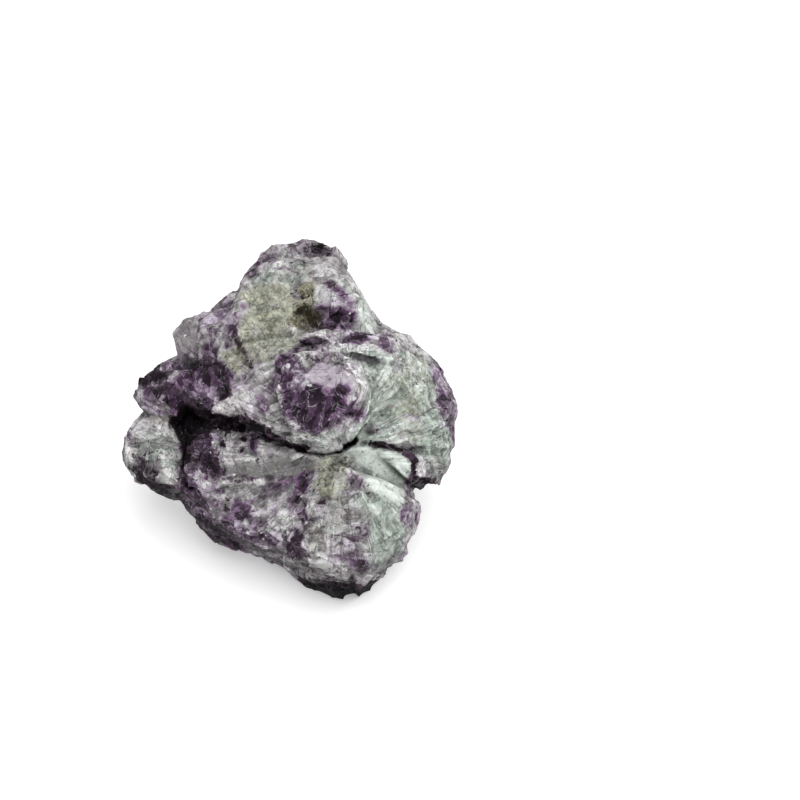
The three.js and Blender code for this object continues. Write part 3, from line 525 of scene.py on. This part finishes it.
def flakes(points, size, seed, tilt):
    """Flat scales of mica: the height of each point's own tilted scale, and how near the scale's edge is."""
    shift = Vector((seed * 2.13, seed * 9.7, seed * 4.41))
    middle = Vector(HALF)
    heights = np.empty(len(points))
    gaps = np.empty(len(points))
    for i, p in enumerate(points.tolist()):
        here = Vector(p) / size + shift
        apart, centres = noise.voronoi(here)
        own = centres[0]
        lean = noise.cell_vector(own * 13.7 + middle)  # random, one for each scale
        heights[i] = (here - own).dot(lean - middle) * tilt + (lean.x - 0.5) * 0.5
        gaps[i] = apart[1] - apart[0]
    return heights * size, gaps


def spread(values, edges, rounds):
    """Values evened out over the surface, each round from a point's neighbours."""
    kept = 0.4  # of a point's own value in each round
    count = len(values)
    degree = np.bincount(edges.ravel(), minlength=count).astype(float)
    for _ in range(rounds):
        total = np.empty_like(values)
        for axis in range(values.shape[1]):
            column = values[:, axis]
            total[:, axis] = (np.bincount(edges[:, 0], column[edges[:, 1]], count)
                              + np.bincount(edges[:, 1], column[edges[:, 0]], count))
        values = kept * values + (1 - kept) * total / degree[:, None]
    return values


def hollowness(piece, points, rounds):
    """How far each point lies under the evened surface round it: crests are below 0."""
    even = spread(points, edges_of(piece), rounds)
    return np.sum((even - points) * normals_of(piece), axis=1)


def closed_in(piece, points, reach, rays):
    """The share of the sky above each point that other rock hides within reach."""
    lowest, highest = 0.25, 0.95  # how steeply the rays rise, where 1 is straight away from the surface
    clear = 0.15  # mm, how far off the surface a ray starts
    tree = BVHTree.FromObject(piece, bpy.context.evaluated_depsgraph_get())
    golden = math.pi * (3 - math.sqrt(5))
    ways = []
    for i in range(rays):
        rise = lowest + (highest - lowest) * (i + 0.5) / rays
        flat = math.sqrt(1 - rise * rise)
        ways.append(Vector((flat * math.cos(i * golden), flat * math.sin(i * golden), rise)))
    hidden = np.zeros(len(points))
    for i, (point, normal) in enumerate(zip(points.tolist(), normals_of(piece).tolist())):
        up = Vector(normal)
        turn = up.to_track_quat("Z", "X")
        start = (Vector(point) + up * clear) * MM
        hits = [way for way in ways if tree.ray_cast(start, turn @ way, reach * MM)[0] is not None]
        hidden[i] = len(hits) / rays
    return hidden


def mineral_amounts(points):
    """How much of each mineral there is at each point. What is known is the share that the patches give. Their
    dark is partly painted shade.
    """
    flat = from_front(points)
    seen = from_front(points + drift(points, 3.5, 11, 4) * PATCH_FRAY)
    total = np.zeros(len(points))
    nearest = np.full(len(points), np.inf)
    sums = {name: np.zeros(len(points)) for name in MINERALS}
    for across, up, length, breadth, turn, holds in PATCHES:
        near = (np.abs(flat[:, 0] - across) < PATCH_MIDDLE) & (np.abs(flat[:, 1] - up) < PATCH_MIDDLE)
        depth = flat[near, 2].max() if near.any() else PATCH_HIDDEN
        away_across = seen[:, 0] - across
        away_up = seen[:, 1] - up
        swing = math.radians(turn)
        along = away_across * math.cos(swing) + away_up * math.sin(swing)
        beside = away_up * math.cos(swing) - away_across * math.sin(swing)
        behind = (seen[:, 2] - depth) / (PATCH_DEPTH + max(length, breadth))
        apart = np.sqrt((along / length) ** 2 + (beside / breadth) ** 2 + behind ** 2)
        weight = (PATCH_BLUR + apart) ** -5
        total += weight
        nearest = np.minimum(nearest, apart)
        for name in MINERALS:
            sums[name] += weight * holds.get(name, 0)
    known = 1 - ramp(nearest, *PATCH_END)
    amount = {"known": known}
    for seed, (name, (usual, uneven, size, octaves)) in enumerate(MINERALS.items(), 1):
        wild = usual + uneven * clouds(points, size, seed, octaves)
        amount[name] = np.clip(wild * (1 - known) + sums[name] / total * known, 0, MOST)
    return amount


# The stone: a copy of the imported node, with its slots filled, made finer and then broken

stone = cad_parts["lepidolite"].copy()
stone.data = stone.data.copy()
stone.name = "stone"
bpy.context.scene.collection.objects.link(stone)
pick(stone)
bpy.ops.object.mode_set(mode="EDIT")
bpy.ops.mesh.select_all(action="SELECT")
bpy.ops.mesh.remove_doubles(threshold=WELD * MM)
bpy.ops.object.mode_set(mode="OBJECT")
for start, end, thickness in GROOVE_FILLS:
    fill_groove(stone, np.array(start), np.array(end), thickness)
apply(stone, "REMESH", mode="VOXEL", voxel_size=FINE * MM)
apply(stone, "SMOOTH", factor=0.5, iterations=1)

rest = corners_of(stone)
amount = mineral_amounts(rest)
fan = ramp(amount["green"] + 0.3 * amount["pale"], 0.35, 0.8)
mica = ramp(amount["purple"], 0.3, 0.7)
rough = 1 - 0.85 * ramp(amount["smooth"], 0.3, 0.9)
grounded = ramp(rest[:, 2], FLAT_BELOW, ROUGH_ABOVE)
shown = ramp(normals_of(stone) @ OUTWARD, -0.5, 0.2)  # the front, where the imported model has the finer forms
bare_fan = np.clip(fan * shown - mica, 0, 1)  # the front's fans, where no mica covers them
warp = drift(rest, 4.0, 31)
fibres = along_fans(rest)

blocks, _ = flakes(rest + 1.5 * warp, size=6.5, seed=3, tilt=1.1)
plates, plate_gap = flakes(rest + warp, size=3.2, seed=1, tilt=1.0)
ledges = terraces(rest + warp, size=6.0, step=0.9, seed=23)
plate_edges = ramp(plate_gap, 0.1, 0.0) * ramp(clouds(rest, 7.0, 27), -0.1, 0.25)
splits = ramp(splinters(rest + warp, 5.0, 28), 0.93, 1.0) * ramp(clouds(rest, 9.0, 29), -0.1, 0.3)
lumps = 0.3 * blocks * (1 - 0.7 * shown)
lumps += 0.3 * ledges * (1 - 0.6 * bare_fan)
lumps += 0.28 * plates * at_least(0.25, mica)
lumps -= 0.3 * plate_edges * (1 - 0.9 * bare_fan)
lumps += 0.2 * blades(fibres, size=6.0, count=4.0, seed=24) * at_least(0.2, fan)
lumps -= 0.5 * splits
lumps = np.where(lumps > 0, lumps / (1 + lumps / TALLEST), lumps)
points = push_out(stone, rest, lumps * rough * grounded)

scales, _ = flakes(rest + 0.4 * warp, size=1.4, seed=2, tilt=1.1)
grain = 0.09 * scales * at_least(0.1, mica)
grain += 0.015 * clouds(rest, 1.3, 25, 2)
grain += 0.05 * blades(fibres, size=2.2, count=3.0, seed=26) * at_least(0.2, fan)
push_out(stone, points, grain * at_least(0.1, rough) * grounded)
apply(stone, "SMOOTH", factor=0.3, iterations=1)
bpy.ops.object.shade_smooth()

points = corners_of(stone)
facing = spread(normals_of(stone), edges_of(stone), 8)
# For the painted light and shade: how much rock hides each point's sky, how far it lies in a hollow, how far
# it faces down (more on the front), and where it is the underside of an overhang
amount["crevice"] = closed_in(stone, points, reach=7.0, rays=12)
amount["hollow"] = 0.5 + 0.8 * hollowness(stone, points, 6) + 0.7 * hollowness(stone, points, 40)
amount["under"] = ramp(-facing[:, 2], -0.2, 0.5) * at_least(0.55, amount["known"])
amount["lip"] = ramp(-(facing @ UPWARD), 0.2, 0.7) * ramp(amount["crevice"], 0.1, 0.4)
for name, values in amount.items():
    store(stone, name, values)


# Nodes

def srgb(red, green, blue):
    """A colour as an eye reads it, 0 to 255, as the linear one that a node takes."""
    return tuple(LIT * (part / 255) ** 2.2 for part in (red, green, blue)) + (1.0,)


def put(tree, kind, settings=None, **sockets):
    """Add one shader node. A socket is given by its name, with _ for a space, or by in0, in1 and so on."""
    node = tree.nodes.new("ShaderNode" + kind)
    for name, value in (settings or {}).items():
        setattr(node, name, value)
    for name, value in sockets.items():
        key = int(name[2:]) if name[:2] == "in" and name[2:].isdigit() else name.replace("_", " ")
        socket = node.inputs[key]
        if isinstance(value, bpy.types.NodeSocket):
            tree.links.new(value, socket)
        else:
            socket.default_value = value
    return node


def math_node(tree, operation, first, second=0.0, third=0.0, clamp=False):
    settings = {"operation": operation, "use_clamp": clamp}
    return put(tree, "Math", settings, in0=first, in1=second, in2=third).outputs[0]


def times(tree, first, *factors):
    for factor in factors:
        first = math_node(tree, "MULTIPLY", first, factor)
    return first


def summed(tree, start, *parts):
    """The start with each part added, times its own strength."""
    for field, strength in parts:
        start = math_node(tree, "MULTIPLY_ADD", field, strength, start)
    return start


def vector_node(tree, operation, first, second=(0.0, 0.0, 0.0)):
    node = put(tree, "VectorMath", {"operation": operation}, in0=first, in1=second)
    return node.outputs["Value" if operation == "DOT_PRODUCT" else "Vector"]


def scaled(tree, vector, factor):
    return put(tree, "VectorMath", {"operation": "SCALE"}, in0=vector, Scale=factor).outputs["Vector"]


def step_up(tree, value, low, high, least=0.0, most=1.0):
    """least below low, most above high, and smooth between."""
    settings = {"interpolation_type": "SMOOTHSTEP"}
    return put(tree, "MapRange", settings, in0=value, in1=low, in2=high, in3=least, in4=most).outputs[0]


def step_down(tree, value, low, high):
    """1 below low, 0 above high, and smooth between."""
    return step_up(tree, value, low, high, 1.0, 0.0)


def blended(tree, share, first, second):
    """A value between two others."""
    return put(tree, "Mix", in0=share, in2=first, in3=second).outputs[0]


def mixed(tree, share, first, second, way="MIX"):
    """A colour between two others."""
    settings = {"data_type": "RGBA", "blend_type": way}
    return put(tree, "Mix", settings, in0=share, in6=first, in7=second).outputs[2]


def laid_on(tree, colour, share, strength, layer):
    """The colour with another laid over it, as thickly as the share times the strength."""
    return mixed(tree, times(tree, share, strength), colour, srgb(*layer))


def tinted(tree, value, tones):
    """A colour for each value, from the tones (value, colour)."""
    node = put(tree, "ValToRGB", Fac=value)
    band = node.color_ramp
    while len(band.elements) < len(tones):
        band.elements.new(1.0)
    for element, (stop, colour) in zip(band.elements, tones):
        element.position = stop
        element.color = srgb(*colour)
    return node.outputs["Color"]


def noted(tree, name):
    return put(tree, "Attribute", {"attribute_name": name}).outputs["Fac"]


def speckle(tree, vector, scale, detail=3.0, roughness=0.6, distortion=0.0):
    """Soft noise, 0 to 1, with about scale lumps to a mm."""
    return put(tree, "TexNoise", Vector=vector, Scale=scale, Detail=detail, Roughness=roughness,
               Distortion=distortion).outputs["Fac"]


def edge_gap(tree, vector, size):
    """How near the border of its cell each point is. The cells are those of flakes of this size."""
    settings = {"feature": "DISTANCE_TO_EDGE"}
    return put(tree, "TexVoronoi", settings, Vector=vector, Scale=1 / size).outputs["Distance"]


def swirled(tree, place, size, reach):
    """The place pushed about by soft noise of one size, so that straight borders turn uneven."""
    stir = put(tree, "TexNoise", Vector=place, Scale=1 / size, Detail=2.0).outputs["Color"]
    push = scaled(tree, vector_node(tree, "SUBTRACT", stir, HALF), 2 * reach)
    return vector_node(tree, "ADD", place, push)


def creased(tree, field, width):
    """1 along the thin lines where a noise is halfway up, and 0 away from them."""
    off = math_node(tree, "ABSOLUTE", math_node(tree, "SUBTRACT", field, 0.5))
    return step_down(tree, off, 0.0, width)


def varied(tree, base, *parts, calm=1.0):
    """A mineral's amount, made uneven by noises with their strengths, less so where it is calm."""
    shifts = 0.0
    for field, strength in parts:
        shift = math_node(tree, "SUBTRACT", field, 0.5)
        shifts = math_node(tree, "MULTIPLY_ADD", shift, strength, shifts)
    return math_node(tree, "MULTIPLY_ADD", shifts, calm, base)


# Node groups

def new_group(name, takes, gives):
    """An empty node group, with its inputs and outputs, which are given as name: kind."""
    group = bpy.data.node_groups.new(name, "ShaderNodeTree")
    for way, sockets in (("INPUT", takes), ("OUTPUT", gives)):
        for socket, kind in sockets.items():
            group.interface.new_socket(socket, in_out=way, socket_type="NodeSocket" + kind)
    return group, group.nodes.new("NodeGroupInput").outputs, group.nodes.new("NodeGroupOutput").inputs


def grouped(tree, group, **sockets):
    return put(tree, "Group", {"node_tree": group}, **sockets).outputs


def fibre_group():
    """Coordinates in which everything on one fibre of the fans lies together."""
    group, came, ends = new_group("fibres", {"Place": "Vector"}, {"Fibres": "Vector"})
    rest = vector_node(group, "SUBTRACT", came["Place"], tuple(FOCUS))
    across, up, out = [vector_node(group, "DOT_PRODUCT", rest, tuple(way)) for way in FACING]
    square = math_node(group, "MULTIPLY_ADD", up, up, times(group, across, across))
    radius = math_node(group, "ADD", math_node(group, "SQRT", square), FAN_CORE)
    side = times(group, math_node(group, "DIVIDE", across, radius), FAN_RADIUS)
    rise = times(group, math_node(group, "DIVIDE", up, radius), FAN_RADIUS)
    depth = summed(group, times(group, radius, FAN_ALONG), (out, FAN_INWARD))
    packed = put(group, "CombineXYZ", X=side, Y=rise, Z=depth).outputs[0]
    group.links.new(packed, ends["Fibres"])
    return group


def flake_group():
    """Flat flakes, Size mm wide, each leaning its own way: their height in mm, and two random tones."""
    group, came, ends = new_group("flakes", {"Place": "Vector", "Size": "Float"},
                                  {"Height": "Float", "Tone": "Float", "Pick": "Float"})
    place = scaled(group, came["Place"], math_node(group, "DIVIDE", 1.0, came["Size"]))
    cell = put(group, "TexVoronoi", Vector=place, Scale=1.0).outputs
    away = vector_node(group, "SUBTRACT", place, cell["Position"])
    lean = vector_node(group, "SUBTRACT", cell["Color"], HALF)
    tones = put(group, "SeparateColor", in0=cell["Color"]).outputs
    group.links.new(times(group, vector_node(group, "DOT_PRODUCT", away, lean), came["Size"]), ends["Height"])
    group.links.new(tones[0], ends["Tone"])
    group.links.new(tones[1], ends["Pick"])
    return group


def strand_group():
    """Strands, Width mm wide, that lie one way in each patch of Size mm, as cleaved crystals do.

    Strand is a tone, 0 to 1. A pattern read at Drawn is drawn out along the strands.
    """
    group, came, ends = new_group("strands", {"Place": "Vector", "Size": "Float", "Width": "Float"},
                                  {"Strand": "Float", "Drawn": "Vector"})
    place = came["Place"]
    patch = put(group, "TexVoronoi", Vector=place, Scale=math_node(group, "DIVIDE", 1.0, came["Size"]))
    way = vector_node(group, "NORMALIZE", vector_node(group, "SUBTRACT", patch.outputs["Color"], HALF))
    along = vector_node(group, "DOT_PRODUCT", place, way)
    squeezed = vector_node(group, "ADD", place, scaled(group, way, times(group, along, -STRAND_SQUEEZE)))
    drawn = vector_node(group, "ADD", place, scaled(group, way, times(group, along, -DRAWN_SQUEEZE)))
    strand = speckle(group, squeezed, math_node(group, "DIVIDE", 1.0, came["Width"]))
    group.links.new(strand, ends["Strand"])
    group.links.new(drawn, ends["Drawn"])
    return group


# The rock

rock = bpy.data.materials.new("rough mica rock")
rock.use_nodes = True
tree = rock.node_tree
shader = tree.nodes["Principled BSDF"]
shader.inputs["Specular IOR Level"].default_value = SHINE
stone.data.materials.clear()
stone.data.materials.append(rock)

purple, green, olive, pale, dark, smooth, glitter = [noted(tree, name) for name in MINERALS]
known, crevice, hollow = [noted(tree, name) for name in ("known", "crevice", "hollow")]
under, lip = [noted(tree, name) for name in ("under", "lip")]
calm = step_up(tree, smooth, 0.25, 0.9, 1.0, 0.25)

# Its patterns
place = scaled(tree, put(tree, "TexCoord").outputs["Object"], 1 / MM)
ragged = swirled(tree, place, size=0.6, reach=0.16)
bent = swirled(tree, ragged, size=2.5, reach=0.7)
fibre = grouped(tree, fibre_group(), Place=swirled(tree, ragged, size=4.0, reach=0.45))["Fibres"]
strands = grouped(tree, strand_group(), Place=ragged, Size=7.0, Width=0.36)
strand, drawn = strands["Strand"], strands["Drawn"]

flake = flake_group()
large = grouped(tree, flake, Place=bent, Size=2.6)
middle = grouped(tree, flake, Place=bent, Size=1.2)
little = grouped(tree, flake, Place=ragged, Size=0.55)
blade = grouped(tree, flake, Place=fibre, Size=1.3)
shard = grouped(tree, flake, Place=drawn, Size=SHARD)
slab = grouped(tree, flake, Place=drawn, Size=SLAB)
shard_rim = step_down(tree, edge_gap(tree, drawn, SHARD), 0.0, 0.07)
slab_rim = step_down(tree, edge_gap(tree, drawn, SLAB), 0.0, 0.035)

blotch = speckle(tree, bent, 0.24, 4.0, distortion=0.4)
blotch = blended(tree, times(tree, known, 0.55), blotch, 0.5)
mottle = speckle(tree, bent, 0.7, roughness=0.55, distortion=0.3)
grit = speckle(tree, place, 2.6, roughness=0.65)
streak = speckle(tree, fibre, 0.45, 4.0)
thread = speckle(tree, fibre, 1.7)
fissure = creased(tree, speckle(tree, bent, 0.3, 4.0), 0.012)
fissure = times(tree, fissure, step_up(tree, mottle, 0.42, 0.55))
hairline = creased(tree, speckle(tree, fibre, 1.1, 2.0, 0.5), 0.03)
hairline = times(tree, hairline, step_up(tree, streak, 0.4, 0.55))

# Its minerals, each laid over the ones before it
whiteness = varied(
    tree, pale, (blotch, 1.0), (mottle, 0.5), (streak, 0.5), (strand, 0.5), (large["Tone"], 0.3),
    (shard["Tone"], 0.45), (slab["Tone"], 0.45), (blade["Tone"], 0.2), calm=calm)
colour = tinted(tree, whiteness, STONE_TONES)

greenness = varied(tree, green, (blotch, 0.9), (streak, 0.7), (shard["Pick"], 0.3), calm=calm)
green_tone = varied(
    tree, times(tree, pale, 0.85), (thread, 0.5), (streak, 0.8), (blotch, 0.5), (shard["Tone"], 0.2),
    (blade["Tone"], 0.3), calm=calm)
colour = mixed(tree, step_up(tree, greenness, 0.2, 0.8), colour, tinted(tree, green_tone, GREEN_TONES))

olive_share = step_up(tree, varied(tree, olive, (mottle, 0.9), (blotch, 0.9)), 0.15, 0.95)
olive_tone = varied(tree, times(tree, pale, 0.95), (mottle, 0.8), (grit, 0.25), (shard["Tone"], 0.15))
colour = mixed(tree, olive_share, colour, tinted(tree, olive_tone, OLIVE_TONES))

purpleness = varied(
    tree, purple, (blotch, 1.2), (slab["Pick"], 0.5), (shard["Pick"], 0.45), (streak, 0.4), (strand, 0.3),
    calm=calm)
purple_share = step_up(tree, purpleness, 0.15, 0.8)
purple_tone = varied(
    tree, summed(tree, 0.55, (pale, 0.7), (purpleness, -0.5)), (slab["Tone"], 0.6), (shard["Tone"], 0.6),
    (mottle, 0.4), (strand, 0.3), calm=calm)
colour = mixed(tree, purple_share, colour, tinted(tree, purple_tone, PURPLE_TONES))

fleck_field = varied(tree, 0.5, (shard["Tone"], 0.8), (mottle, 1.6), (strand, 0.8))
fleck = times(tree, purple_share, step_up(tree, fleck_field, 0.74, 0.88))
colour = laid_on(tree, colour, fleck, 0.65, FLECK)
vein = times(tree, slab_rim, step_up(tree, mottle, 0.4, 0.54))
colour = laid_on(tree, colour, vein, 0.55, VEIN)
crack_line = step_down(tree, edge_gap(tree, bent, CRACKED), 0.015, 0.09)
crack = times(tree, crack_line, step_up(tree, blotch, 0.4, 0.55), olive_share)
colour = laid_on(tree, colour, crack, 0.6, CRACK)

# the dark mineral; where the front's patches lay it in hollows, crevices and undersides, it is painted shade
dark_field = varied(tree, dark, (mottle, 1.2), (shard["Tone"], 0.8), (strand, 0.8))
dark_share = step_up(tree, dark_field, 0.42, 0.68)
dark_tone = varied(tree, 0.5, (shard["Tone"], 1.0), (mottle, 1.0), (strand, 0.6))
dark_colour = laid_on(tree, tinted(tree, dark_tone, DARK_TONES), olive_share, 1.0, DARK_STAIN)
colour = mixed(tree, dark_share, colour, dark_colour)

# Its light and shade
depth = varied(tree, 0.5, (mottle, 0.7), (grit, 0.55), (thread, 0.4), (strand, 0.4), (shard["Tone"], 0.35))
shade = step_up(tree, depth, 0.15, 0.85, 0.66, 1.24)
shade = blended(tree, step_up(tree, smooth, 0.3, 0.95, 0.0, 0.7), shade, 1.0)
# painted light and shade: lighter on crests, darker in hollows, and much darker on faces turned down
shade = times(tree, shade, step_up(tree, hollow, 0.1, 1.1, 1.32, 0.36), summed(tree, 1.0, (under, -0.85)))
shade = put(tree, "CombineXYZ", X=shade, Y=shade, Z=shade).outputs[0]
colour = mixed(tree, 1.0, colour, shade, "MULTIPLY")

# Its lines, rims, painted shade and painted glints
hairline_share = times(tree, hairline, step_up(tree, olive_share, 0.0, 0.8, 0.55, 0.15))
lines = math_node(tree, "MAXIMUM", times(tree, fissure, 0.7), hairline_share)
colour = laid_on(tree, colour, lines, 1.0, LINE)
# painted shade: dark where other rock hides the sky, and on the undersides of overhangs
painted_shade = times(tree, step_up(tree, crevice, 0.35, 0.85), 0.85)
painted_shade = math_node(tree, "MAXIMUM", painted_shade, times(tree, lip, 0.8))
colour = laid_on(tree, colour, painted_shade, 1.0, PAINTED_SHADE_COLOUR)
bright = times(tree, step_up(tree, mottle, 0.5, 0.62), calm, summed(tree, 1.0, (dark_share, -0.8)))
colour = laid_on(tree, colour, times(tree, shard_rim, bright), 0.35, LIGHT_RIM)
dull = times(tree, step_down(tree, mottle, 0.4, 0.5), calm)
colour = laid_on(tree, colour, times(tree, shard_rim, dull), 0.45, DARK_RIM)
# painted glints: a few tiny white specks in the colour, where flakes would catch the lamp; they are glossier
# too
painted_glint = math_node(tree, "GREATER_THAN", little["Pick"], summed(tree, 0.998, (glitter, -0.22)))
colour = laid_on(tree, colour, painted_glint, 0.7, PAINTED_GLINT_COLOUR)
tree.links.new(colour, shader.inputs["Base Color"])

# Its gloss and its finest relief, in mm
gloss = summed(tree, 0.64, (purple_share, -0.16), (dark_share, 0.45), (middle["Tone"], -0.14))
gloss = math_node(tree, "MULTIPLY_ADD", painted_glint, -0.35, gloss, clamp=True)
tree.links.new(gloss, shader.inputs["Roughness"])
relief = summed(
    tree, 0.0, (large["Height"], 0.3), (slab["Height"], 0.4), (middle["Height"], 0.3), (shard["Height"], 0.5),
    (blade["Height"], 0.25), (grit, 0.03), (thread, 0.08), (strand, 0.07), (mottle, 0.1), (fissure, -0.15),
    (hairline, -0.08), (crack, -0.06))
relief = times(tree, relief, step_up(tree, smooth, 0.3, 0.95, 1.0, 0.25))
bump = put(tree, "Bump", Strength=1.0, Distance=MM, Height=relief)
tree.links.new(bump.outputs["Normal"], shader.inputs["Normal"])

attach(stone, "root")
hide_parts("lepidolite")

# The studio, in metres where no unit is named

DISTANCE = 420  # mm from the camera to the stone
VIEW_WIDTH = 144  # mm that the picture shows across at the stone, 0.18 mm to a pixel
SENSOR = 36  # mm
AIM = FRONT + 20.16 * ACROSS + 3.24 * UPWARD  # the stone sits left of the middle of the picture
WHITE = (1.0, 1.0, 1.0, 1.0)
PAPER_WIDTH = 4.0
PAPER_COLOUR = (0.95, 0.95, 0.95, 1.0)
PAPER_GLOW = 0.25
ROOM_LIGHT = 0.7
LAMP_PLACE = (0.16, -0.06, 0.6)
LAMP_AIM = (0.0, 0.0, 0.02)
LAMP_SIZE = 0.7
LAMP_POWER = 3.6  # watts

camera = bpy.data.objects.new("camera", bpy.data.cameras.new("camera"))
bpy.context.scene.collection.objects.link(camera)
camera.data.sensor_width = SENSOR
camera.data.lens = SENSOR * DISTANCE / VIEW_WIDTH
turn = Matrix(FACING).transposed().to_4x4()
camera.matrix_world = Matrix.Translation(Vector((AIM + DISTANCE * OUTWARD) * MM)) @ turn
bpy.context.scene.camera = camera

bpy.ops.mesh.primitive_plane_add(size=PAPER_WIDTH, location=(0, 0, 0))
floor = bpy.context.object
floor.name = "floor"
paper = bpy.data.materials.new("white paper")
paper.use_nodes = True
paper_inputs = paper.node_tree.nodes["Principled BSDF"].inputs
paper_inputs["Base Color"].default_value = PAPER_COLOUR
paper_inputs["Roughness"].default_value = 0.9
paper_inputs["Emission Color"].default_value = WHITE
paper_inputs["Emission Strength"].default_value = PAPER_GLOW
floor.data.materials.append(paper)

lamp = bpy.data.objects.new("top light", bpy.data.lights.new("top light", "AREA"))
bpy.context.scene.collection.objects.link(lamp)
lamp.data.size = LAMP_SIZE
lamp.data.energy = LAMP_POWER
lamp.location = LAMP_PLACE
lamp.rotation_euler = (Vector(LAMP_AIM) - lamp.location).to_track_quat("-Z", "Y").to_euler()

room = bpy.data.worlds.new("room")
room.use_nodes = True
room.node_tree.nodes["Background"].inputs["Color"].default_value = WHITE
room.node_tree.nodes["Background"].inputs["Strength"].default_value = ROOM_LIGHT
bpy.context.scene.world = room
bpy.context.scene.view_settings.view_transform = "Standard"
